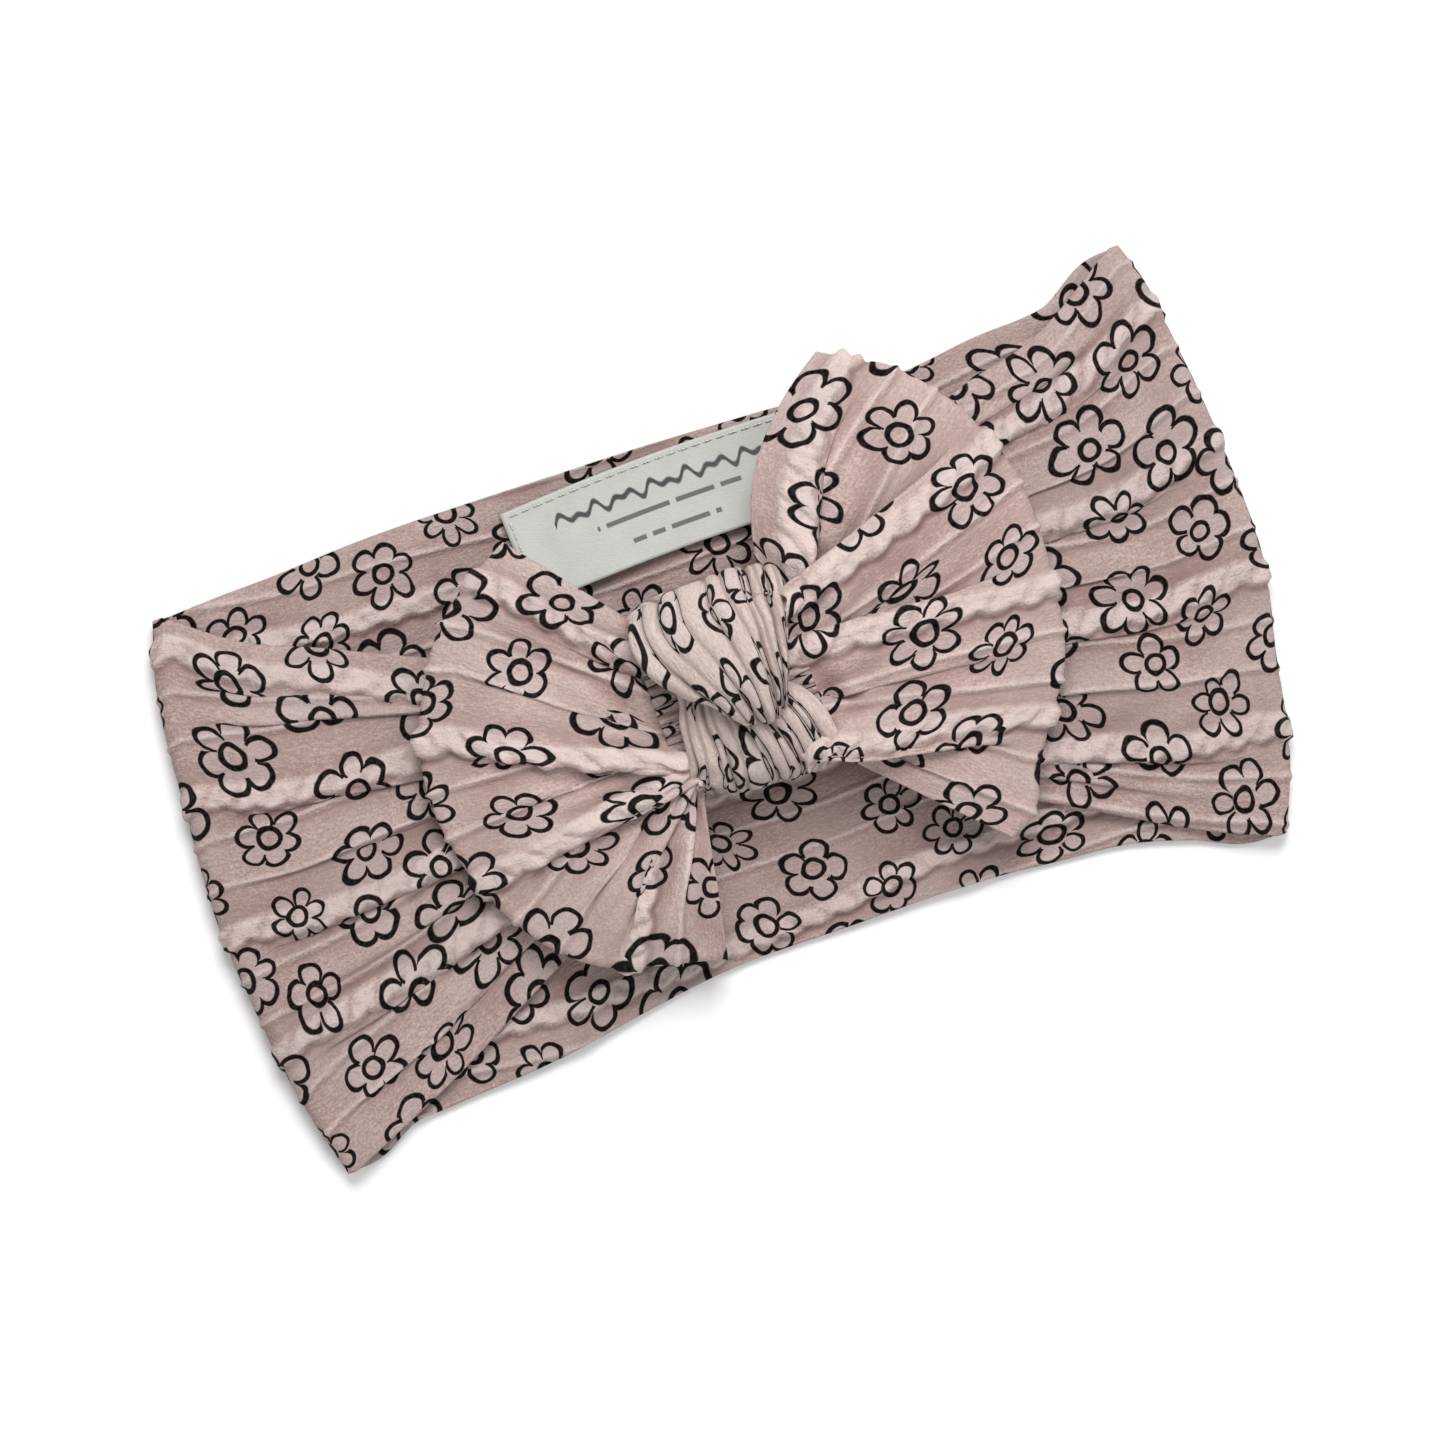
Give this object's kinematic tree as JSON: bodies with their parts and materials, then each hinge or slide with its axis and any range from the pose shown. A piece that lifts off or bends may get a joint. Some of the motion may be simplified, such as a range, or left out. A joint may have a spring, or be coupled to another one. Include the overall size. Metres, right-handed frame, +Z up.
{
  "type": "knotted headband",
  "caption": "Wide ribbed stretch headband lying flat, gathered at the front under a knotted bow with fanned loops; label inside the back.",
  "frame": {"origin": "middle of the whole object's box, on the surface that it lies on", "axes": "+X along the band from fold to fold, +Y across the band towards the label's edge, +Z up out of the bow"},
  "size_m": [0.1899, 0.105, 0.0289],
  "materials": {
    "band_cloth": "matt ribbed knit, dusty pink with a black line print of flowers",
    "bow_cloth": "matt ribbed knit, dusty pink with a black line print of flowers",
    "knot_cloth": "matt stretched knit, paler pink with the print squeezed",
    "label_satin": "smooth white satin tape",
    "sewing_thread": "matt polyester thread"
  },
  "bodies": {
    "band_back": {"back_panel": "band_cloth", "left_fold": "band_cloth", "right_fold": "band_cloth", "care_label": "label_satin", "label_top_stitching": "sewing_thread", "label_left_stitching": "sewing_thread", "label_right_stitching": "sewing_thread"},
    "left_front": {"left_wing": "band_cloth"},
    "right_front": {"right_wing": "band_cloth"},
    "front_knot": {"band_neck": "band_cloth", "band_neck_thread": "sewing_thread", "bow_neck": "bow_cloth", "bow_neck_thread": "sewing_thread", "knot_upper_strand": "knot_cloth", "knot_lower_strand": "knot_cloth", "knot_back_wrap": "knot_cloth", "knot_closing_stitches": "sewing_thread"},
    "left_loop": {"bow_left_loop": "bow_cloth"},
    "right_loop": {"bow_right_loop": "bow_cloth"}
  },
  "joints": [
    {"name": "band_open", "type": "slide", "parent": "band_back", "child": "front_knot", "axis": [0, 0, 1], "range_m": [0, 0.024]},
    {"name": "left_wing_lift", "type": "hinge", "parent": "band_back", "child": "left_front", "pos_m": [-0.082, 0, 0.0064], "axis": [0, -1, 0], "range_deg": [0, 20.5]},
    {"name": "right_wing_lift", "type": "hinge", "parent": "band_back", "child": "right_front", "pos_m": [0.078, 0, 0.0064], "axis": [0, 1, 0], "range_deg": [0, 23.5]},
    {"name": "bow_left_flop", "type": "hinge", "parent": "front_knot", "child": "left_loop", "pos_m": [-0.0142, 0.0035, 0.017], "axis": [0, 1, 0], "range_deg": [0, 55]},
    {"name": "bow_right_flop", "type": "hinge", "parent": "front_knot", "child": "right_loop", "pos_m": [0.0182, 0.0035, 0.017], "axis": [0, -1, 0], "range_deg": [0, 55]}
  ],
  "couplings": [
    {"joint": "left_wing_lift", "follows": "band_open", "rad_per_m": 14.8},
    {"joint": "right_wing_lift", "follows": "band_open", "rad_per_m": 16.9}
  ]
}
